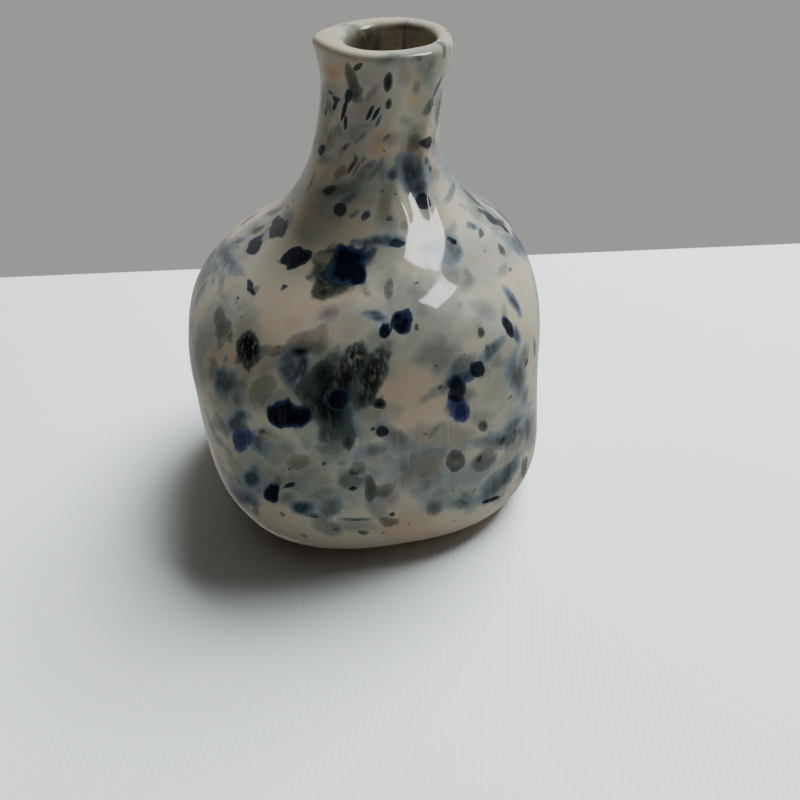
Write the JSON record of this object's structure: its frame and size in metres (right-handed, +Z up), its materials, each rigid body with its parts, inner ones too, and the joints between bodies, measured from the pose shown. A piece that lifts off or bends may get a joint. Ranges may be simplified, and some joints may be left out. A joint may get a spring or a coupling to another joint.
{
  "type": "ceramic bud vase",
  "caption": "Small hand-built ceramic bud vase with a rounded-square belly, sloping shoulder and slender pinched neck, glossy blue-splashed glaze.",
  "frame": {"origin": "on the standing surface, at the middle of the vase's bounding box", "axes": "+Z up through the neck, +X to the right of the fluted front, -Y towards the front"},
  "size_m": [0.0816, 0.0812, 0.1011],
  "materials": {
    "stoneware_bisque": "bare fired clay, matt and slightly sandy",
    "splashed_gloss_glaze": "clear gloss glaze over cream slip with dark blue, slate and grey-green splashes",
    "liner_gloss_glaze": "clear gloss glaze over cream slip"
  },
  "bodies": {
    "root": {"foot_slab": "stoneware_bisque", "base_seam_coil": "stoneware_bisque", "belly_wall": "stoneware_bisque", "shoulder_dome": "stoneware_bisque", "neck_fillet_coil": "stoneware_bisque", "neck_tube": "stoneware_bisque", "lip_coil": "stoneware_bisque", "outer_glaze": "splashed_gloss_glaze", "liner_glaze": "liner_gloss_glaze"}
  },
  "joints": []
}
